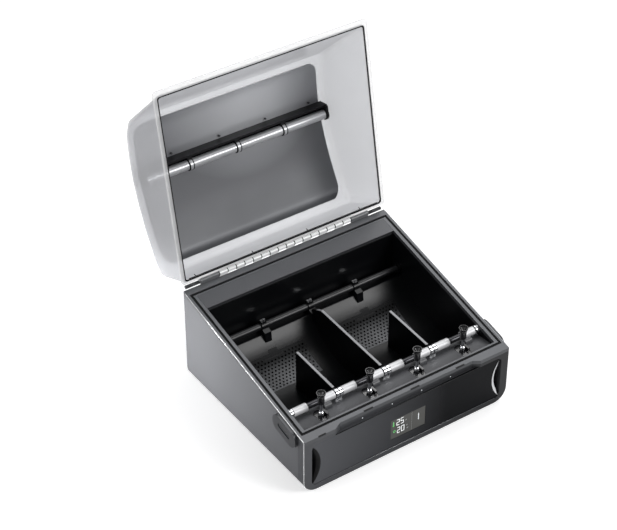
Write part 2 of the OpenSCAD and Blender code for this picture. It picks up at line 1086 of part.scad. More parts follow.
module hinge_lid_leaf() {
  color([0.7, 0.71, 0.73])
  difference() {
    union() {
      for (i = [1:2:barrel_n - 1]) {
        barrel(knuckle_x0(i), knuckle_x0(i) + knuckle_p - knuckle_gap);
        on_lid()
          translate([knuckle_x0(i), 0, hinge_up])
            rotate([-wall_lean, 0, 0])
              translate([0, -leaf_off + 0.4, 0.8])
                cube([knuckle_p - knuckle_gap, leaf_off - 2.6, 1.8]);
      }
      on_lid()
        translate([-knuckles_hw + 1, 0, hinge_up])
          rotate([-wall_lean, 0, 0])
            translate([0, -leaf_off, 0.4])
              cube([2 * knuckles_hw - 2, 1.3, 13]);
    }
    translate([0, hinge_y, hinge_z])
      rod_x(pin_r + run_c, -400, 400);
  }
}

// ---- lid ----

module lid_ball(s, c, r) {
  translate([s * (top_hw - roof_r), -c[0], c[1]])
    sphere(r = r, $fn = 32);
}

module lid_form(g) {
  r = roof_r - g;
  hull() {
    for (s = [-1, 1]) {
      for (c = roof_line) {
        lid_ball(s, c, r);
      }
      lid_ball(s, roof_front, r);
      for (y = [-skirt_r - 6, -lid_l + skirt_r + 8]) {
        translate([s * (skirt_hw - skirt_r), y, 3.5 - (g > 0 ? 1 : 0)])
          cylinder(r = skirt_r - g, h = 1, $fn = 32);
      }
    }
  }
}

module lid_shell() {
  color([0.85, 0.87, 0.9, 0.4])
  on_lid()
    difference() {
      lid_form(0);
      lid_form(lid_t);
    }
}

// a flat ring following the lid's flange, inset by a at its outer and by b at its inner edge
module flange_ring(a, b, z0, h) {
  difference() {
    translate([0, -(lid_l + 5) / 2, z0])
      linear_extrude(h)
        round_rect(2 * (lid_hw - a), lid_l - 5 - 2 * a, 6);
    translate([0, -(lid_l - 0.2) / 2, z0 - 1])
      linear_extrude(h + 2)
        round_rect(2 * (lid_hw - b), lid_l - 6 - 2 * b, 4);
  }
}

module lid_rim() {
  color([0.8, 0.82, 0.85, 0.6])
  on_lid()
    union() {
      flange_ring(0, flange_w - 2, 0.5, 1.5);
      flange_ring(0, flange_w, 1.9, 1.6);
    }
}

module lid_seal() {
  color([0.03, 0.03, 0.03])
  on_lid()
    difference() {
      translate([0, -(lid_l - 0.2) / 2, 0.7])
        linear_extrude(1.2)
          round_rect(2 * (lid_hw - flange_w + 2), lid_l - 18, 4);
      translate([0, -(lid_l - 0.2) / 2, -1])
        linear_extrude(6)
          round_rect(2 * (lid_hw - flange_w) + 0.4, lid_l - 21.6, 4);
    }
}

// unit normal, away from the rim, of the roof between two of its points
function roof_n(a, b) = [a[1] - b[1], b[0] - a[0]] / norm(b - a);

// the roof's outline lowered by off, as (y, z) points of the lid's own plane
function roof_edge(off) = [for (i = [0:len(roof_line) - 2]) for (e = [0, 1])
  let (p = roof_line[i + e] + (roof_r - off) * roof_n(roof_line[i], roof_line[i + 1]))
  [-p[0], p[1]]];

function turned(v) = [for (i = [len(v) - 1:-1:0]) v[i]];

module lid_roof_panel() {
  color([0.25, 0.27, 0.29, 0.8])
  on_lid()
    intersection() {
      run_x(-roof_hw - 1, roof_hw + 1)
        polygon(concat(roof_edge(panel_gap), turned(roof_edge(panel_gap + panel_t))));
      translate([0, -(roof_t0 + roof_t1) / 2, 0])
        linear_extrude(200)
          round_rect(2 * roof_hw, roof_t1 - roof_t0, 20);
    }
}

module lid_roller_rail() {
  y1 = -roller_t - rail_l;
  color([0.03, 0.03, 0.035])
  on_lid()
    difference() {
      union() {
        translate([-rail_hw, y1, roller_d + 8.9])
          cube([2 * rail_hw, rail_l, rail_top - roller_d - 8.9]);
        translate([-rail_hw, y1, roller_d - 5.5])
          cube([2 * rail_hw, 3, 16]);
        for (i = [-1, 0, 1]) {
          translate([i * bay_p - lid_ring_hw, -roller_t, roller_d])
            rod_x(lid_roller_r + 0.8, 0, 2 * lid_ring_hw);
          translate([i * bay_p - lid_ring_hw, y1 + 2, roller_d - 3])
            cube([2 * lid_ring_hw, rail_l - 2, 14]);
        }
        for (s = [-1, 1]) {
          translate([s > 0 ? rail_hw - rail_end : -rail_hw, -roller_t, roller_d])
            rod_x(lid_roller_r + 1.6, 0, rail_end);
          translate([s > 0 ? rail_hw - rail_end : -rail_hw, y1 + 2, roller_d - 8])
            cube([rail_end, rail_l - 2, 18]);
        }
      }
      translate([0, -roller_t, roller_d])
        rod_x(axle_r + run_c, -rail_hw + 2, rail_hw - 2);
    }
}

module lid_roller(k) {
  x0 = k == -1.5 ? -rail_hw + rail_end + end_gap : (k - 0.5) * bay_p + lid_ring_hw + end_gap;
  x1 = k == 1.5 ? rail_hw - rail_end - end_gap : (k + 0.5) * bay_p - lid_ring_hw - end_gap;
  color([0.7, 0.71, 0.72])
  on_lid()
    translate([0, -roller_t, roller_d])
      union() {
        rod_x(lid_roller_r, x0, x1);
        rod_x(axle_r, x0 - (k == -1.5 ? 2.4 : 3.9), x1 + (k == 1.5 ? 2.4 : 3.9));
      }
}

module lid_roller_1() {
  lid_roller(-1.5);
}

module lid_roller_2() {
  lid_roller(-0.5);
}

module lid_roller_3() {
  lid_roller(0.5);
}

module lid_roller_4() {
  lid_roller(1.5);
}

// ---- side latches and feet ----

module pill_x(l, w, x0, x1) {
  run_x(x0, x1)
    round_rect(l, w, w / 2 - 0.01);
}

module latch_plates() {
  color([0.25, 0.26, 0.27])
  for (s = [-1, 1]) {
    translate([s * hw, latch_y, latch_z])
      rotate([rim_tilt, 0, 0])
        difference() {
          pill_x(latch_l, latch_w, s > 0 ? 0 : -latch_t, s > 0 ? latch_t : 0);
          pill_x(slot_l, slot_w, -20, 20);
        }
  }
}

module latch_button(s) {
  color([0.08, 0.08, 0.09])
  translate([s * hw, latch_y, latch_z])
    rotate([rim_tilt, 0, 0])
      pill_x(slot_l - 0.4, slot_w - 0.4, s > 0 ? 1.8 : 1 - latch_t, s > 0 ? latch_t - 1 : -1.8);
}

module latch_button_left() {
  latch_button(-1);
}

module latch_button_right() {
  latch_button(1);
}

module feet() {
  color([0.03, 0.03, 0.03])
  on_feet()
    cylinder(r = foot_r, h = foot_h + foot_in);
}

outer_casing();
front_bezel();
front_panel();
display_window();
display_board();
status_lights();
rim_frame();
rim_gasket();
rear_ledge();
inner_tub();
front_deck();
grille_left();
grille_right();
heater_left();
heater_right();
fan_frame_left();
fan_frame_right();
fan_rotor_left();
fan_rotor_right();
divider_centre();
divider_left();
divider_right();
roller_bearings();
roller_shaft_1();
roller_shaft_2();
roller_shaft_3();
roller_shaft_4();
roller_sleeves_1();
roller_sleeves_2();
roller_sleeves_3();
roller_sleeves_4();
drive_housings();
rear_rod();
rod_brackets();
rod_end_caps();
clamp_screws();
feed_funnels();
feed_tubes();
feed_couplings();
feed_blocks();
power_supply();
mainboard();
power_inlet();
outlet_ports();
hinge_base_leaf();
hinge_pin();
hinge_lid_leaf();
lid_rim();
lid_seal();
lid_shell();
lid_roof_panel();
lid_roller_rail();
lid_roller_1();
lid_roller_2();
lid_roller_3();
lid_roller_4();
latch_plates();
latch_button_left();
latch_button_right();
feet();
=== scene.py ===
import math
import bmesh
import bpy
from mathutils import Matrix, Vector


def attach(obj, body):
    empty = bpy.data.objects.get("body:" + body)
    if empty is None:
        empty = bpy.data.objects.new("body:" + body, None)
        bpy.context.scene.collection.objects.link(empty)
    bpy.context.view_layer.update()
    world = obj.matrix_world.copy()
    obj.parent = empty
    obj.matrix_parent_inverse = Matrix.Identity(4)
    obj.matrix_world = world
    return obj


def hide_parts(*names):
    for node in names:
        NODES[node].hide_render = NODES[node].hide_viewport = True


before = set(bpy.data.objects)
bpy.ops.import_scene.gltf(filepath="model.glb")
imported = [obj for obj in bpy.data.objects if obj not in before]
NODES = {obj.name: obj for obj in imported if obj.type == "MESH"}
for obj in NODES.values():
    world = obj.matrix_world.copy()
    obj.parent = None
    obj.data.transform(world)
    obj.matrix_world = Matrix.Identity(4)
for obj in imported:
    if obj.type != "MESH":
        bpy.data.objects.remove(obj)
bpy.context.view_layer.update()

# ---------------------------------------------------------------- sizes of the carried solids
# All in millimetres, as in part.scad, unless a name says otherwise.
MM = 0.001
FRONT_Y = -155.6                  # front face of the bezel
FRONT_H = 98.1                    # height of the front edge
BAY = 84.6                        # pitch of the four bays
RIM_TILT = math.radians(12.35)    # slope of the rim
HINGE_Y, HINGE_Z = 158.3, 171.0   # hinge pin
HINGE_OFF = 4.075                 # from the pin to the plane where d is 0
LID_OPEN = math.radians(113.0)    # the lid's turn from shut to rest
PANEL_DEEP = 1.5                  # gloss panel, back from the front face
ROLL_T, ROLL_D = 131.0, 112.0     # axis of the lid's idler rollers
# Middles of the balls that the lid's dome is stretched over, back to front: (t, d).
ROOF = [(-2, 75), (8, 84), (18, 88), (60, 103), (100, 112.8), (133, 117.5), (165, 118.3),
        (190, 116.3), (206, 114), (213.5, 110.14), (223.5, 105)]
SIDES = ((-1, "left"), (1, "right"))


def at(x, y, z):
    """A point of the frame."""
    return Vector((x, y, z)) * MM


LID = (Matrix.Translation(at(0, HINGE_Y, HINGE_Z)) @ Matrix.Rotation(RIM_TILT - LID_OPEN, 4, "X")
       @ Matrix.Translation((0, 0, -HINGE_OFF * MM)))
RIM = Matrix.Translation(at(0, FRONT_Y, FRONT_H)) @ Matrix.Rotation(RIM_TILT, 4, "X")


def lid_point(x, t, d):
    """A point of the lid: t from the hinge to the lid's front edge, d from its foot upwards."""
    return LID @ at(x, -t, d)


def rim_point(x, t, n):
    """A point over the sloping rim: t from the front edge backwards, n out of the rim."""
    return RIM @ at(x, t, n)


# ---------------------------------------------------------------- shader parts
def tree(name):
    m = bpy.data.materials.new(name)
    m.use_nodes = True
    nt = m.node_tree
    return m, nt, nt.nodes["Principled BSDF"]


def object_point(nt):
    return nt.nodes.new("ShaderNodeTexCoord").outputs["Object"]


def split(nt, vector):
    """The three numbers of a vector."""
    sep = nt.nodes.new("ShaderNodeSeparateXYZ")
    nt.links.new(vector, sep.inputs[0])
    return sep.outputs


def noise(nt, scale, detail=3, stretch=(1, 1, 1)):
    """Noise in object coordinates, stretched along an axis if asked."""
    mp = nt.nodes.new("ShaderNodeMapping")
    mp.inputs["Scale"].default_value = stretch
    nt.links.new(object_point(nt), mp.inputs["Vector"])
    no = nt.nodes.new("ShaderNodeTexNoise")
    no.inputs["Scale"].default_value = scale
    no.inputs["Detail"].default_value = detail
    nt.links.new(mp.outputs["Vector"], no.inputs["Vector"])
    return no.outputs["Fac"]


def math_node(nt, operation, first, second=None):
    """A Math node; each input is a socket or a number."""
    node = nt.nodes.new("ShaderNodeMath")
    node.operation = operation
    for socket, value in zip(node.inputs, (first, second)):
        if isinstance(value, float):
            socket.default_value = value
        elif value is not None:
            nt.links.new(value, socket)
    return node.outputs[0]


def ranged(nt, fac, lo, hi, start=0.0, end=1.0):
    mr = nt.nodes.new("ShaderNodeMapRange")
    mr.inputs["From Min"].default_value = start
    mr.inputs["From Max"].default_value = end
    mr.inputs["To Min"].default_value = lo
    mr.inputs["To Max"].default_value = hi
    nt.links.new(fac, mr.inputs["Value"])
    return mr.outputs["Result"]


def mixed(nt, fac, a, b):
    """A mix of two colours; each is a tuple or a socket."""
    mx = nt.nodes.new("ShaderNodeMix")
    mx.data_type = "RGBA"
    nt.links.new(fac, mx.inputs[0])
    for i, c in ((6, a), (7, b)):
        if isinstance(c, tuple):
            mx.inputs[i].default_value = (*c, 1)
        else:
            nt.links.new(c, mx.inputs[i])
    return mx.outputs[2]


def bumped(nt, b, fac, strength, distance=0.0003):
    bp = nt.nodes.new("ShaderNodeBump")
    bp.inputs["Strength"].default_value = strength
    bp.inputs["Distance"].default_value = distance
    nt.links.new(fac, bp.inputs["Height"])
    nt.links.new(bp.outputs["Normal"], b.inputs["Normal"])


def scaled(c, k):
    return tuple(min(1.0, v * k) for v in c)


# ---------------------------------------------------------------- kinds of material
VARY = 0.05          # slow drift of a surface's colour, as a share
COAT_ROUGH = 0.05
PLASTIC_IOR = 1.49


def surface(name, color, rough=0.5, metal=0.0, grain=0.03, scale=1500.0, bump=0.02,
            coat=0.0, spec=0.5, stretch=(1, 1, 1), smudge=0.03):
    """A moulded or metal finish: fine grain in roughness and bump, and slow drifts of tone."""
    m, nt, b = tree(name)
    b.inputs["Metallic"].default_value = metal
    b.inputs["Coat Weight"].default_value = coat
    b.inputs["Coat Roughness"].default_value = COAT_ROUGH
    b.inputs["Specular IOR Level"].default_value = spec
    fine = noise(nt, scale, 3, stretch)
    slow = noise(nt, 9.0, 2)
    grainy = ranged(nt, fine, rough - grain, rough + grain)
    smudged = ranged(nt, slow, -smudge, smudge, 0.3, 0.7)
    nt.links.new(math_node(nt, "ADD", grainy, smudged), b.inputs["Roughness"])
    drift = mixed(nt, slow, scaled(color, 1 - VARY), scaled(color, 1 + VARY))
    nt.links.new(drift, b.inputs["Base Color"])
    if bump:
        bumped(nt, b, fine, bump)
    return m


def clear(name, tint, body, rough, haze):
    """Clear plastic: see-through with a tint and a haze of its own, glossier at grazing angles."""
    m, nt, b = tree(name)
    b.inputs["Base Color"].default_value = (*body, 1)
    b.inputs["IOR"].default_value = PLASTIC_IOR
    slow = noise(nt, 14.0, 2)
    nt.links.new(ranged(nt, slow, rough * 0.6, rough * 1.5, 0.3, 0.7), b.inputs["Roughness"])
    bumped(nt, b, noise(nt, 60.0, 2), 0.015, 0.0006)
    tr = nt.nodes.new("ShaderNodeBsdfTransparent")
    tr.inputs["Color"].default_value = (*tint, 1)
    lw = nt.nodes.new("ShaderNodeLayerWeight")
    lw.inputs["Blend"].default_value = 0.5
    grazing = math_node(nt, "POWER", lw.outputs["Facing"], 5.0)
    mix = nt.nodes.new("ShaderNodeMixShader")
    nt.links.new(ranged(nt, grazing, haze, 1.0), mix.inputs[0])
    nt.links.new(tr.outputs["BSDF"], mix.inputs[1])
    nt.links.new(b.outputs["BSDF"], mix.inputs[2])
    nt.links.new(mix.outputs["Shader"], nt.nodes["Material Output"].inputs["Surface"])
    return m


def glow(name, color, power):
    """A lit figure or lamp."""
    m, nt, b = tree(name)
    nt.links.new(mixed(nt, noise(nt, 700.0), scaled(color, 0.85), color), b.inputs["Base Color"])
    b.inputs["Emission Color"].default_value = (*color, 1)
    b.inputs["Emission Strength"].default_value = power
    return m


# ---------------------------------------------------------------- materials
# surface(name, colour, roughness, metallic, grain of the roughness, scale of the grain, bump)
MAT = {
    "casing": surface("casing", (0.13, 0.133, 0.142), 0.46, 0.4, 0.03, 1700, 0.015, smudge=0.02),
    "bezel": surface("bezel", (0.04, 0.042, 0.046), 0.36, 0.1, 0.03, 1700, 0.015, spec=0.35),
    "panel": surface("panel", (0.05, 0.051, 0.055), 0.2, 0.0, 0.02, 900, 0.0, spec=0.1),
    "screen": surface("screen", (0.085, 0.085, 0.08), 0.2, 0.0, 0.02, 900, 0.0, spec=0.3),
    "board": surface("board", (0.01, 0.06, 0.03), 0.5, 0.0, 0.05, 500),
    "rim": surface("rim", (0.09, 0.093, 0.1), 0.36, 0.4, 0.04, 1700, 0.015),
    "pill": surface("pill", (0.045, 0.047, 0.052), 0.34, 0.2, 0.03, 1700, 0.015),
    # edge, edge_soft, edge_dim: painted highlight lines of three strengths; edge_dim is also a
    # slightly darker line on the casing
    "edge": surface("edge", (0.75, 0.76, 0.77), 0.25, 0.4, 0.03, 900, 0.0),
    "edge_soft": surface("edge_soft", (0.3, 0.31, 0.325), 0.28, 0.5, 0.04, 900, 0.0),
    "edge_dim": surface("edge_dim", (0.1, 0.103, 0.11), 0.3, 0.3, 0.04, 900, 0.0),
    "rubber": surface("rubber", (0.004, 0.004, 0.0045), 0.7, 0.0, 0.05, 900, 0.05, spec=0.2),
    "ledge": surface("ledge", (0.06, 0.062, 0.068), 0.36, 0.35, 0.04, 1500, 0.02),
    "liner": surface("liner", (0.0025, 0.0028, 0.0036), 0.33, 0.0, 0.04, 1500, 0.02, spec=0.3),
    "deck": surface("deck", (0.08, 0.082, 0.088), 0.42, 0.1, 0.04, 1500, 0.03),
    "grille": surface("grille", (0.016, 0.0165, 0.018), 0.42, 0.1, 0.04, 1500, 0.02, spec=0.15),
    "divider": surface("divider", (0.0012, 0.0014, 0.0018), 0.4, 0.0, 0.04, 1300, 0.02, spec=0.1),
    # painted highlight colour for the dividers' top edges
    "divider_top_highlight": surface("divider_top_highlight", (0.32, 0.325, 0.34), 0.38, 0.1, 0.04, 1300, 0.02),
    "heater": surface("heater", (0.012, 0.012, 0.013), 0.6, 0.3, 0.05, 500),
    "fan": surface("fan", (0.01, 0.01, 0.012), 0.5, 0.0, 0.05, 900, 0.03),
    "chrome": surface("chrome", (0.75, 0.76, 0.78), 0.12, 1.0, 0.02, 500, 0.0),
    "shaft": surface("shaft", (0.03, 0.03, 0.034), 0.24, 0.6, 0.03, 300, 0.0, stretch=(1, 8, 8)),
    "sleeve": surface("sleeve", (0.72, 0.725, 0.74), 0.5, 0.3, 0.05, 900, 0.08,
                      stretch=(1, 0.05, 0.05), spec=0.3),
    "rod": surface("rod", (0.012, 0.0125, 0.014), 0.36, 0.0, 0.03, 900, 0.0, spec=0.45),
    "feeder": surface("feeder", (0.008, 0.008, 0.0095), 0.16, 0.0, 0.03, 900, 0.0, coat=0.6),
    "supply": surface("supply", (0.3, 0.31, 0.32), 0.4, 0.9, 0.05, 500),
    "hinge_dark": surface("hinge_dark", (0.09, 0.093, 0.1), 0.34, 0.1, 0.05, 800),
    "hinge_bright": surface("hinge_bright", (0.9, 0.905, 0.91), 0.34, 0.0, 0.04, 600, 0.0,
                            stretch=(1, 6, 6)),
    "rail": surface("rail", (0.007, 0.0073, 0.0085), 0.42, 0.0, 0.05, 1300, 0.02, spec=0.15),
    "black": surface("black", (0.002, 0.002, 0.0025), 0.35, 0.0, 0.04, 1300, 0.0, spec=0.25),
    "dull": surface("dull", (0.045, 0.046, 0.05), 0.5, 0.2, 0.04, 1300, 0.0),
    "idler": surface("idler", (0.5, 0.505, 0.52), 0.32, 0.4, 0.04, 400, 0.0, stretch=(1, 6, 6)),
    "button": surface("button", (0.025, 0.026, 0.029), 0.4, 0.0, 0.05, 900),
    "lid": clear("lid", (0.94, 0.943, 0.95), (0.8, 0.805, 0.83), 0.07, 0.38),
    "flange": clear("flange", (0.98, 0.98, 0.982), (0.97, 0.972, 0.975), 0.08, 0.34),
    "line": surface("line", (0.34, 0.35, 0.37), 0.3, 0.0, 0.03, 900, 0.0),
    "smoke": surface("smoke", (0.12, 0.124, 0.134), 0.36, 0.3, 0.03, 1500, 0.01),
    "light": glow("light", (0.9, 0.95, 1.0), 1.1),
    "digit": glow("digit", (0.80, 0.82, 0.82), 0.62),
    "pocket": surface("pocket", (0.1, 0.1, 0.1), 0.4, 0.0, 0.04, 1300, 0.0, spec=0.2),
    "mark": glow("mark", (0.35, 0.36, 0.36), 0.25),
    "icon": glow("icon", (0.14, 0.45, 0.16), 0.6),
}


# ---------------------------------------------------------------- colours that drift over a part, most of them painted light and shade
# Places are object coordinates in metres.
X, Z = 0, 2


def recolour(key, color):
    """Feeds a material's base colour from another socket and drops the drift that fed it."""
    nt = MAT[key].node_tree
    socket = nt.nodes["Principled BSDF"].inputs["Base Color"]
    nt.nodes.remove(socket.links[0].from_node)
    nt.links.new(color, socket)


def along(key, axis, first, last, start, end):
    """Lets the base colour drift from one end of the part to the other; here it paints light and
    shade.
    """
    nt = MAT[key].node_tree
    fac = ranged(nt, split(nt, object_point(nt))[axis], 0.0, 1.0, start, end)
    recolour(key, mixed(nt, fac, first, last))


def bright_middle(key, half, dark, bright):
    """The hinge's base leaf: bright knuckles in the middle, darker ends."""
    nt = MAT[key].node_tree
    away = math_node(nt, "ABSOLUTE", split(nt, object_point(nt))[X])
    recolour(key, mixed(nt, ranged(nt, away, 1.0, 0.0, half - 0.0005, half + 0.0005), dark, bright))


def painted_light_pool(key, place, reach, low, high, bright):
    """The smoked lining with painted light: paler towards its front end, and palest in a painted
    pool of light around one place.
    """
    nt = MAT[key].node_tree
    point = object_point(nt)
    rise = ranged(nt, split(nt, point)[Z], 0.0, 1.0, 0.19, 0.42)
    dist = nt.nodes.new("ShaderNodeVectorMath")
    dist.operation = "DISTANCE"
    dist.inputs[1].default_value = place
    nt.links.new(point, dist.inputs[0])
    near = ranged(nt, dist.outputs["Value"], 1.0, 0.0, 0.0, reach)
    recolour(key, mixed(nt, near, mixed(nt, rise, low, high), bright))


# Painted light on the lining: a pool of light near its upper middle and a paler upper part.
painted_light_pool("smoke", (0.03, 0.3, 0.38), 0.16,
       (0.055, 0.057, 0.063), (0.34, 0.345, 0.365), (0.6, 0.61, 0.635))
# Painted sheen: the grille is paler towards its bottom, where light from above falls on it.
along("grille", Z, (0.14, 0.143, 0.15), (0.008, 0.0083, 0.009), 0.042, 0.058)
bright_middle("hinge_dark", 0.12, (0.14, 0.143, 0.15), (0.9, 0.905, 0.91))
# Painted light and shade: the pockets are dark on the left and pale on the right, as lit from the
# right.
along("pocket", X, (0.002, 0.002, 0.0025), (0.7, 0.71, 0.73), -0.15, 0.15)
# Painted reflection: the gloss panel is paler at its left end and fades to black towards the right.
along("panel", X, (0.1, 0.103, 0.112), (0.002, 0.0024, 0.0036), -0.165, 0.07)
# Painted light: the bezel is paler at the left and darker towards the right.
along("bezel", X, (0.075, 0.078, 0.085), (0.018, 0.0185, 0.0205), -0.17, 0.17)

PAINT = {
    "casing": "outer_casing", "bezel": "front_bezel", "panel": "front_panel",
    "screen": "display_window", "board": "display_board mainboard", "light": "status_lights",
    "rim": "rim_frame", "pill": "latch_plates", "rubber": "rim_gasket lid_seal feet",
    "ledge": "rear_ledge", "liner": "inner_tub rod_brackets rod_end_caps",
    "divider": "divider_centre divider_left divider_right",
    "deck": "front_deck drive_housings", "grille": "grille_left grille_right",
    "heater": "heater_left heater_right",
    "fan": "fan_frame_left fan_frame_right fan_rotor_left fan_rotor_right",
    "chrome": "roller_bearings clamp_screws feed_couplings feed_tubes",
    "shaft": "roller_shaft_1 roller_shaft_2 roller_shaft_3 roller_shaft_4",
    "sleeve": "roller_sleeves_1 roller_sleeves_2 roller_sleeves_3 roller_sleeves_4",
    "rod": "rear_rod", "feeder": "feed_funnels feed_blocks power_inlet outlet_ports",
    "supply": "power_supply", "hinge_dark": "hinge_base_leaf",
    "hinge_bright": "hinge_lid_leaf hinge_pin", "rail": "lid_roller_rail",
    "idler": "lid_roller_1 lid_roller_2 lid_roller_3 lid_roller_4",
    "button": "latch_button_left latch_button_right", "lid": "lid_shell", "flange": "lid_rim",
    "smoke": "lid_roof_panel",
}
for key, names in PAINT.items():
    for name in names.split():
        slots = NODES[name].data.materials
        slots.clear()
        slots.append(MAT[key])


# ---------------------------------------------------------------- rounding of the carried parts
def soften(name, width, segments, edge=None):
    """Rounds a carried part's edges; edge names a second colour for the bevel faces, which paints
    highlight lines along them.
    """
    o = NODES[name]
    md = o.modifiers.new("round", "BEVEL")
    md.width = width * MM
    md.segments = segments
    md.limit_method = "ANGLE"
    md.angle_limit = math.radians(35)
    md.use_clamp_overlap = True
    if edge:
        o.data.materials.append(MAT[edge])
        md.material = 1


# The edge, edge_soft and edge_dim colours on these bevels are painted highlight lines.
for names, width, segments, edge in (
        ("outer_casing", 0.5, 2, "edge_dim"),
        ("front_bezel", 0.6, 2, "edge_dim"),
        ("rim_frame", 0.55, 2, "edge_soft"),
        ("front_panel", 0.3, 1, "edge_dim"),
        ("latch_plates", 1.0, 2, "edge"),
        ("rear_ledge", 0.4, 1, "edge_dim"),
        ("front_deck", 0.4, 1, "edge_soft"),
        ("lid_rim", 0.35, 1, "line"),
        ("divider_centre divider_left divider_right", 0.4, 1, "edge_dim"),
        ("hinge_base_leaf hinge_lid_leaf lid_roller_rail rod_brackets", 0.3, 1, None)):
    for name in names.split():
        soften(name, width, segments, edge)


# ---------------------------------------------------------------- mesh helpers
def from_bm(name, bm, mat, body, smooth=True, recalc=True):
    """Makes a piece that rides on a body."""
    me = bpy.data.meshes.new(name)
    if recalc:
        bmesh.ops.recalc_face_normals(bm, faces=bm.faces)
    bm.to_mesh(me)
    bm.free()
    me.materials.append(MAT[mat])
    if smooth:
        me.polygons.foreach_set("use_smooth", [True] * len(me.polygons))
    o = bpy.data.objects.new(name, me)
    bpy.context.scene.collection.objects.link(o)
    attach(o, body)
    return o


def skin(bm, rows, closed=False):
    """Joins each row of vertices to the next one by quads; closed joins the rows' ends too."""
    for a, b in zip(rows, rows[1:]):
        for k in range(len(a) if closed else len(a) - 1):
            j = (k + 1) % len(a)
            bm.faces.new((a[k], a[j], b[j], b[k]))


def cap(bm, rows):
    bm.faces.new(rows[0][::-1])
    bm.faces.new(rows[-1])


ASIDE = Vector((0.31, 0.2, 0.93))    # along no path, so it gives each one a side


def sweep(bm, pts, r, seg):
    """A round bar of radius r, in metres, along a path of points."""
    rows = []
    for i, p in enumerate(pts):
        d = (pts[min(i + 1, len(pts) - 1)] - pts[max(i - 1, 0)]).normalized()
        a = d.cross(ASIDE).normalized()
        b = d.cross(a)
        rows.append([bm.verts.new(p + (a * math.cos(t) + b * math.sin(t)) * r)
                     for t in (2 * math.pi * k / seg for k in range(seg))])
    skin(bm, rows, True)
    cap(bm, rows)


def beads(name, paths, r, mat, body, seg=10):
    """One piece of several round beads of radius r, in metres."""
    bm = bmesh.new()
    for pts in paths:
        sweep(bm, pts, r, seg)
    return from_bm(name, bm, mat, body)


def bead(name, pts, r, mat, body, seg=10):
    return beads(name, [pts], r, mat, body, seg)


# ---------------------------------------------------------------- painted highlight beads along the body's edges
EDGE_X, EDGE_SINK = 182.9, 0.75      # the beads' place along x, and below the rim
EDGE_Y = -154.65                     # on the front corners
CORNER_X, CORNER_Z = 161, 23.5       # middle of the front's rounded bottom corner
CORNER_W, CORNER_H = 21.9, 21.4      # half axes of its curve
CORNER_STEPS = 12


def edge_path(s):
    """Down the rim's side from the back, over the front corner and down the front face."""
    pts = [rim_point(s * EDGE_X, t, -EDGE_SINK) for t in (314, 240, 160, 80, 3, 1.6)]
    pts += [at(s * EDGE_X, EDGE_Y, z) for z in (96.6, 94, 70, 46, CORNER_Z)]
    for k in range(1, CORNER_STEPS + 1):
        a = math.pi / 2 * k / CORNER_STEPS
        pts.append(at(s * (CORNER_X + CORNER_W * math.cos(a)), EDGE_Y,
                      CORNER_Z - CORNER_H * math.sin(a)))
    return pts


# Painted highlight: the left bead is bright and the right one dimmer, as the light falls on the
# left edge.
for s, side in SIDES:
    bead("highlight_bead_" + side, edge_path(s), 0.00085, "edge" if s < 0 else "edge_soft", "base")


# ---------------------------------------------------------------- painted highlight strips on the divider tops
CAP_HALF = 2.05
CAP_PROFILE = [(-CAP_HALF, -0.5), (-CAP_HALF, 0.1), (-CAP_HALF * 0.8, 0.35),
               (CAP_HALF * 0.8, 0.35), (CAP_HALF, 0.1), (CAP_HALF, -0.5)]


def highlight_strip(name, x, line):
    """A thin lighter strip with rounded sides that lies on the top edge of a divider: a painted
    highlight where light catches the edge.
    """
    bm = bmesh.new()
    rows = [[bm.verts.new(at(x + u, y, z + v)) for u, v in CAP_PROFILE] for y, z in line]
    skin(bm, rows, True)
    cap(bm, rows)
    from_bm(name, bm, "divider_top_highlight", "base", False)


highlight_strip("divider_highlight_centre", 0, [(-86, 103.8), (-20, 105.9), (62, 108.8), (74, 102.8)])
for s, side in SIDES:
    highlight_strip("divider_highlight_" + side, s * BAY, [(-86, 103.0), (-40, 104.9), (4.9, 106.8)])


# ---------------------------------------------------------------- lid shell
BALL_X, BALL_R = 164.5, 12.95        # the balls stand in pairs, this far from the middle
FOOT_X, FOOT_R = 173.5, 8            # the foot's rounded corners
FOOT_ENDS, FOOT_D = (14, 296), 3.5
DOME_WALL = 2.5
DOME_SEG = 20


def dome_points(inset):
    """Points of the dome's balls and foot corners, shrunk inwards."""
    pts = []
    r = BALL_R - inset
    foot = FOOT_R - inset
    for s, _ in SIDES:
        for t, d in ROOF:
            for i in range(DOME_SEG + 1):
                a = math.pi * i / DOME_SEG
                for j in range(2 * DOME_SEG):
                    b = math.pi * j / DOME_SEG
                    pts.append((s * BALL_X + r * math.cos(a), t + r * math.sin(a) * math.cos(b),
                                d + r * math.sin(a) * math.sin(b)))
        for t in FOOT_ENDS:
            for j in range(4 * DOME_SEG):
                b = math.pi * j / DOME_SEG / 2
                pts.append((s * FOOT_X + foot * math.cos(b), t + foot * math.sin(b), FOOT_D))
    return pts


def dome_sheet(inset, flip):
    """A sheet stretched over the points, open at its foot."""
    bm = bmesh.new()
    for p in dome_points(inset):
        bm.verts.new(lid_point(*p))
    bmesh.ops.convex_hull(bm, input=bm.verts)
    loose = [v for v in bm.verts if not v.link_faces]
    bmesh.ops.delete(bm, geom=loose, context="VERTS")
    down = (LID.to_3x3() @ Vector((0, 0, -1))).normalized()
    bm.normal_update()
    foot = [f for f in bm.faces if f.normal.dot(down) > 0.999]
    bmesh.ops.delete(bm, geom=foot, context="FACES")
    flat = math.radians(0.4)
    bmesh.ops.dissolve_limit(bm, angle_limit=flat, verts=bm.verts, edges=bm.edges)
    if flip:
        bmesh.ops.reverse_faces(bm, faces=bm.faces)
    return bm


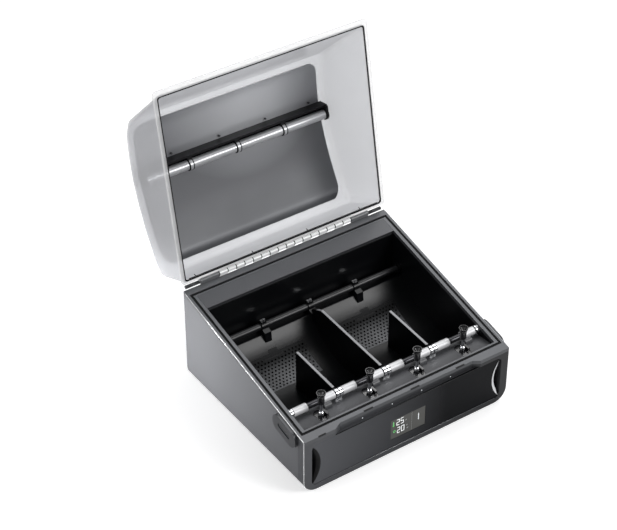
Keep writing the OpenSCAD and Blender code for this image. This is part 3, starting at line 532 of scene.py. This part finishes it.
def lid_dome():
    outer = dome_sheet(0, False)
    inner = dome_sheet(DOME_WALL, True)
    carrier = bpy.data.meshes.new("carrier")
    inner.to_mesh(carrier)
    inner.free()
    outer.from_mesh(carrier)
    bpy.data.meshes.remove(carrier)
    bmesh.ops.bridge_loops(outer, edges=[e for e in outer.edges if e.is_boundary])
    o = from_bm("lid_dome", outer, "lid", "lid", recalc=False)
    md = o.modifiers.new("normals", "WEIGHTED_NORMAL")
    md.keep_sharp = True
    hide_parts("lid_shell")


lid_dome()

# ---------------------------------------------------------------- roof lining
LINING_HALF, LINING_R = 163.2, 20.0     # half the width, radius of the corners
LINING_T = (-3.5, 218.0)                # from its rear edge to its front edge
LINING_OFF = (8.4, 10.1)                # its two faces, outwards from the line through ROOF
LINING_COLUMNS = 28


def rounded(pts, times):
    """Chaikin's corner cutting: a smooth line inside the corners of a coarse one."""
    for _ in range(times):
        out = [pts[0]]
        for (a, b), (c, d) in zip(pts, pts[1:]):
            out.append((a * 0.75 + c * 0.25, b * 0.75 + d * 0.25))
            out.append((a * 0.25 + c * 0.75, b * 0.25 + d * 0.75))
        pts = out + [pts[-1]]
    return pts


def offset_line(pts, off):
    out = []
    for i, (t, d) in enumerate(pts):
        a = pts[max(i - 1, 0)]
        b = pts[min(i + 1, len(pts) - 1)]
        n = math.hypot(b[0] - a[0], b[1] - a[1])
        out.append((t - (b[1] - a[1]) / n * off, d + (b[0] - a[0]) / n * off))
    return out


def lining_rows(bm, line):
    """Rows of vertices across one face of the lining, shorter at its rounded corners."""
    rows = []
    lo, hi = LINING_T
    for t, d in line:
        if lo <= t <= hi:
            e = min(t - lo, hi - t, LINING_R)
            w = LINING_HALF - LINING_R + math.sqrt(LINING_R ** 2 - (LINING_R - e) ** 2)
            rows.append([bm.verts.new(lid_point(w * (2 * k / LINING_COLUMNS - 1), t, d))
                         for k in range(LINING_COLUMNS + 1)])
    return rows


def outline(rows):
    """The vertices round a grid: first row, last column, last row back, first column back."""
    return (rows[0] + [row[-1] for row in rows[1:]] + rows[-1][-2::-1]
            + [row[0] for row in rows[-2:0:-1]])


def roof_sheet():
    """The smoked lining under the roof: a bent sheet with rounded corners."""
    bm = bmesh.new()
    mid = rounded(ROOF, 4)
    under, over = [lining_rows(bm, offset_line(mid, off)) for off in LINING_OFF]
    for row, following in zip(under, under[1:]):
        skin(bm, (following, row))
    skin(bm, over)
    n = min(len(under), len(over)) - 1
    a, b = [outline(rows[:n] + [rows[-1]]) for rows in (under, over)]
    for i in range(len(a)):
        j = (i + 1) % len(a)
        bm.faces.new([bm.verts.new(v.co) for v in (a[i], a[j], b[j], b[i])])
    o = from_bm("roof_sheet", bm, "smoke", "lid", recalc=False)
    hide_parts("lid_roof_panel")


roof_sheet()

# ---------------------------------------------------------------- lid rollers' rings, rail screws
RING_HALF, RING_R, RING_DEEP = 2.4, 8.95, 0.6    # light bands between two rollers
RING_LINE_X, RING_LINE_R = 3.3, 8.75             # dark lines at both sides of a band
RING_ARC = (-190, 30)                            # degrees round the roller, open at the rail
RING_STEPS = 28


def around_roller(x, r):
    lo, hi = RING_ARC
    turns = (math.radians(lo + (hi - lo) * k / RING_STEPS) for k in range(RING_STEPS + 1))
    return [lid_point(x, ROLL_T + r * math.cos(a), ROLL_D + r * math.sin(a)) for a in turns]


def ring_band(name, x):
    """A light band round the rollers' axis."""
    bm = bmesh.new()
    low = RING_R - RING_DEEP
    corners = ((-RING_HALF, low), (-RING_HALF, RING_R), (RING_HALF, RING_R), (RING_HALF, low))
    rows = [[bm.verts.new(p) for p in around_roller(x + u, r)] for u, r in corners]
    skin(bm, rows + rows[:1])
    from_bm(name, bm, "idler", "lid", False)


for i, side in ((-1, "left"), (0, "middle"), (1, "right")):
    ring_band("ring_band_" + side, i * BAY)
    for s, end in ((-1, "a"), (1, "b")):
        line = around_roller(i * BAY + s * RING_LINE_X, RING_LINE_R)
        bead("ring_line_%s_%s" % (side, end), line, 0.0008, "black", "lid")
for i, x in enumerate((-106, -21, 63, 144)):
    screw = [lid_point(x, 152.5, 125.4), lid_point(x, 152.3, 123.4)]
    bead("rail_screw_%d" % (i + 1), screw, 0.0017, "dull", "lid", 16)

# ---------------------------------------------------------------- hinge ends with painted highlight lines, seal line
KNUCKLE = 15.0       # length of a knuckle
KNUCKLE_R = 3.35


def knuckle_gap(x):
    """The dark gap between two knuckles, over the half of the barrel that shows."""
    return [at(x, HINGE_Y + KNUCKLE_R * math.cos(a), HINGE_Z + KNUCKLE_R * math.sin(a))
            for a in (math.radians(15 * k) for k in range(-1, 17))]


beads("knuckle_gaps", [knuckle_gap(KNUCKLE * k) for k in range(-8, 9)], 0.0008, "black", "base", 8)
# hinge_highlight_ and hinge_end_highlight_ are painted highlights: light lines along the tops of
# the barrel and its end caps.
for s, side in SIDES:
    for name, xs, y, z, r, mat, seg in (
            ("hinge_end_", (153.6, 178), 158.6, 169.3, 0.0027, "dull", 20),
            ("hinge_highlight_", (121, 152.4), 157.0, 174.0, 0.00025, "edge", 10),
            ("hinge_end_highlight_", (154, 177.6), 157.4, 171.6, 0.0002, "edge_dim", 10)):
        bead(name + side, [at(s * x, y, z) for x in xs], r, mat, "base", seg)

SEAL_T, SEAL_D, SEAL_R = 11.6, 1.7, 0.0006
seal = [lid_point(x, SEAL_T, SEAL_D) for x in (-171, -60, 60, 171)]
bead("seal_line", seal, SEAL_R, "black", "lid")
for i, x in enumerate((-159, -58, 41, 139)):
    tab = [lid_point(x, SEAL_T, SEAL_D), lid_point(x - 2.5, 15.5, SEAL_D)]
    bead("seal_tab_%d" % (i + 1), tab, SEAL_R, "black", "lid")

# ---------------------------------------------------------------- painted shade in the notches, panel lines
NOTCH_X, NOTCH_PITCH = -159, 82.4
NOTCH_DEPTH = 1.6                    # front to back
NOTCH_N = (-1.75, -0.1)              # lowest and highest, off the rim


def block(bm, place, xs, ys, zs):
    """A box with its corners at both ends of three ranges."""
    v = [bm.verts.new(place(x, y, z)) for z in zs for y in ys for x in xs]
    for q in ((0, 1, 3, 2), (4, 6, 7, 5), (0, 4, 5, 1), (2, 3, 7, 6), (0, 2, 6, 4), (1, 5, 7, 3)):
        bm.faces.new([v[i] for i in q])


# Black blocks set into the notches: painted shade, where the notches lie in shadow.
bm = bmesh.new()
for i in range(4):
    x = NOTCH_X + i * NOTCH_PITCH
    length, t = (12.9, 0.1) if i == 0 else (15.9, 6.3)
    block(bm, rim_point, (x + 0.1, x + length), (t, t + NOTCH_DEPTH), NOTCH_N)
from_bm("notch_shade", bm, "black", "base", False)
top = [at(x, -154.95, 86.1) for x in (-163, -60, 60, 163)]
bead("panel_line_top", top, 0.0006, "black", "base")
# A light line along the front's lower edge: a painted highlight.
low = [at(x, -155.2, 9.9) for x in (-162, -60, 60, 162)]
bead("panel_highlight_low", low, 0.0003, "edge_soft", "base")

# ---------------------------------------------------------------- end pockets
POCKET_Z, POCKET_H = 12.5, 71.0           # lower end and height
POCKET_ARC_X, POCKET_ARC_Z, POCKET_ARC_R = 205.2, 48, 50.7    # the lens's inner curve
POCKET_END = 169                          # the wall ends here at the latest
POCKET_REACH = 8.0
POCKET_Y, POCKET_DEEP = -144.2, 10.6      # floor of the pocket and its rise to the front
POCKET_GAP = 0.15


def pocket_liner(s, side):
    """The curved wall a finger slides down into the pocket at the panel's end."""
    bm = bmesh.new()
    rows = []
    for i in range(25):
        z = POCKET_Z + POCKET_H * i / 24
        u = POCKET_ARC_X - math.sqrt(POCKET_ARC_R ** 2 - (z - POCKET_ARC_Z) ** 2)
        reach = min(POCKET_REACH, POCKET_END - u)
        turns = [math.pi / 2 * k / 10 for k in range(11)]
        rows.append([bm.verts.new(at(s * (u + POCKET_GAP + reach * math.sin(a)),
                                     POCKET_Y - POCKET_DEEP * math.cos(a), z)) for a in turns])
    skin(bm, rows)
    from_bm("pocket_liner_" + side, bm, "pocket", "base", recalc=False)


for s, side in SIDES:
    pocket_liner(s, side)

# ---------------------------------------------------------------- display
FIGURE_W, FIGURE_H, FIGURE_PITCH, FIGURE_STROKE = 4.6, 10.0, 7.4, 0.46
GLASS_Y = FRONT_Y + PANEL_DEEP - 0.2      # front of the figures
SEAM_Y = FRONT_Y + PANEL_DEEP - 0.05
BAR_DEEP = 0.2
LIT = {"2": "abged", "5": "afgcd", "0": "abcdef"}
SEGMENTS = {    # ends of a figure's seven segments, as shares of its width and height
    "a": (0, 1, 1, 1), "b": (1, 1, 1, 0.5), "c": (1, 0.5, 1, 0), "d": (0, 0, 1, 0),
    "e": (0, 0, 0, 0.5), "f": (0, 0.5, 0, 1), "g": (0, 0.5, 1, 0.5)}


def bar(bm, x0, z0, x1, z1, w, y=GLASS_Y):
    """A flat six-sided bar from one point to another, w being half its width."""
    a = Vector((x0, 0, z0))
    b = Vector((x1, 0, z1))
    u = (b - a).normalized()
    v = Vector((-u.z, 0, u.x))
    a -= u * w * 0.6
    b += u * w * 0.6
    pts = [a, a + u * w + v * w, b - u * w + v * w, b, b - u * w - v * w, a + u * w - v * w]
    front = [bm.verts.new(at(p.x, y, p.z)) for p in pts]
    back = [bm.verts.new(at(p.x, y + BAR_DEEP, p.z)) for p in pts]
    bm.faces.new(front)
    bm.faces.new(back[::-1])
    for i in range(6):
        j = (i + 1) % 6
        bm.faces.new((front[j], front[i], back[i], back[j]))


def figure(bm, ch, x, z):
    for k in LIT[ch]:
        x0, z0, x1, z1 = SEGMENTS[k]
        bar(bm, x + x0 * FIGURE_W, z + z0 * FIGURE_H, x + x1 * FIGURE_W, z + z1 * FIGURE_H,
            FIGURE_STROKE)


def ring(bm, x, z, r, w, seg=20):
    turns = [2 * math.pi * k / seg + 2.2 for k in range(seg + 1)]
    pts = [(x + r * math.cos(a), z + r * math.sin(a)) for a in turns]
    for a, b in zip(pts, pts[1:]):
        bar(bm, *a, *b, w)


figures = bmesh.new()
for word, x, z in (("25", -20.6, 48.0), ("20", -19.2, 32.8)):
    for i, ch in enumerate(word):
        figure(figures, ch, x + i * FIGURE_PITCH, z)
bar(figures, 18.8, 40.2, 18.8, 52.0, 0.6)
icons = bmesh.new()
bar(icons, -26.4, 50.8, -26.4, 56.6, 0.8)
ring(icons, -26.4, 49.6, 0.8, 0.75)
ring(icons, -24.6, 38.2, 1.75, 0.6)
marks = bmesh.new()
bar(marks, -4.9, 50.2, -3.1, 51.6, 0.5)
bar(marks, -3.2, 39.6, -1.0, 40.7, 0.5)
bar(marks, -2.4, 33.6, 0.4, 34.9, 0.5)
seam = bmesh.new()
bar(seam, 6.6, 26.5, 6.6, 60.5, 0.09, SEAM_Y)
for name, bm, mat in (("display_figures", figures, "digit"), ("display_icons", icons, "icon"),
                      ("display_marks", marks, "mark"), ("display_seam", seam, "mark")):
    from_bm(name, bm, mat, "base", False)


# ---------------------------------------------------------------- floor and world
def seen_ray(nt):
    """1 for camera and see-through rays, 0 for the rest."""
    rays = nt.nodes.new("ShaderNodeLightPath").outputs
    return math_node(nt, "MAXIMUM", rays["Is Camera Ray"], rays["Is Transmission Ray"])


FLOOR_HALF = 8            # metres
FLOOR_SEEN = 0.5          # the floor's own light, in rays that are seen
SKY, SKY_SEEN = 0.3, 1.0  # the world's light, in other rays and in rays that are seen

floor_mat, nt, b = tree("floor")
b.inputs["Base Color"].default_value = (0.8, 0.8, 0.805, 1)
b.inputs["Roughness"].default_value = 0.7
b.inputs["Specular IOR Level"].default_value = 0.15
b.inputs["Emission Color"].default_value = (1, 1, 1, 1)
nt.links.new(ranged(nt, seen_ray(nt), 0.0, FLOOR_SEEN), b.inputs["Emission Strength"])
me = bpy.data.meshes.new("floor")
h = FLOOR_HALF
me.from_pydata([(-h, -h, 0), (h, -h, 0), (h, h, 0), (-h, h, 0)], [], [(0, 1, 2, 3)])
me.materials.append(floor_mat)
floor = bpy.data.objects.new("floor", me)
bpy.context.scene.collection.objects.link(floor)

world = bpy.data.worlds.new("studio")
bpy.context.scene.world = world
world.use_nodes = True
nt = world.node_tree
sky = nt.nodes["Background"]
sky.inputs["Color"].default_value = (1, 1, 1, 1)
nt.links.new(ranged(nt, seen_ray(nt), SKY, SKY_SEEN), sky.inputs["Strength"])


# ---------------------------------------------------------------- lamps
def area(name, place, target, width, height, watts, spread):
    d = bpy.data.lights.new(name, "AREA")
    d.energy = watts
    d.shape = "RECTANGLE"
    d.size = width
    d.size_y = height
    d.spread = math.radians(spread)
    o = bpy.data.objects.new(name, d)
    o.location = place
    o.rotation_euler = (Vector(target) - Vector(place)).to_track_quat("-Z", "Y").to_euler()
    o.visible_camera = False
    bpy.context.scene.collection.objects.link(o)


area("top", (1.0, 0.7, 2.2), (0, 0, 0.1), 1.8, 1.8, 28, 180)
area("side", (-0.56, 0.4, 0.035), (-0.183, 0.12, 0.05), 0.24, 0.06, 0.42, 46)
area("left", (-1.5, 0.1, 1.2), (-0.1, 0.15, 0.25), 1.0, 1.0, 7, 180)
area("sheen", (1.25, -1.9, 1.45), (0.0, 0.05, 0.05), 1.1, 0.9, 34, 180)

# ---------------------------------------------------------------- camera
# Its axes and place were solved from points of the photograph, in metres.
RIGHT = Vector((0.82110, -0.57074, 0.0))
BACK = Vector((-0.45656, -0.65684, 0.60007))
UP = BACK.cross(RIGHT)
PLACE = Vector((0, 0, 0.1)) + BACK * 2.793587 + RIGHT * -0.055678 + UP * 0.10577

lens = bpy.data.cameras.new("camera")
lens.lens = 110.256
lens.sensor_width = 36.0
lens.sensor_fit = "HORIZONTAL"
lens.clip_end = 30
camera = bpy.data.objects.new("camera", lens)
camera.matrix_world = Matrix([(RIGHT[i], UP[i], BACK[i], PLACE[i]) for i in range(3)]
                             + [(0, 0, 0, 1)])
bpy.context.scene.collection.objects.link(camera)
bpy.context.scene.camera = camera
bpy.context.scene.view_settings.view_transform = "Standard"
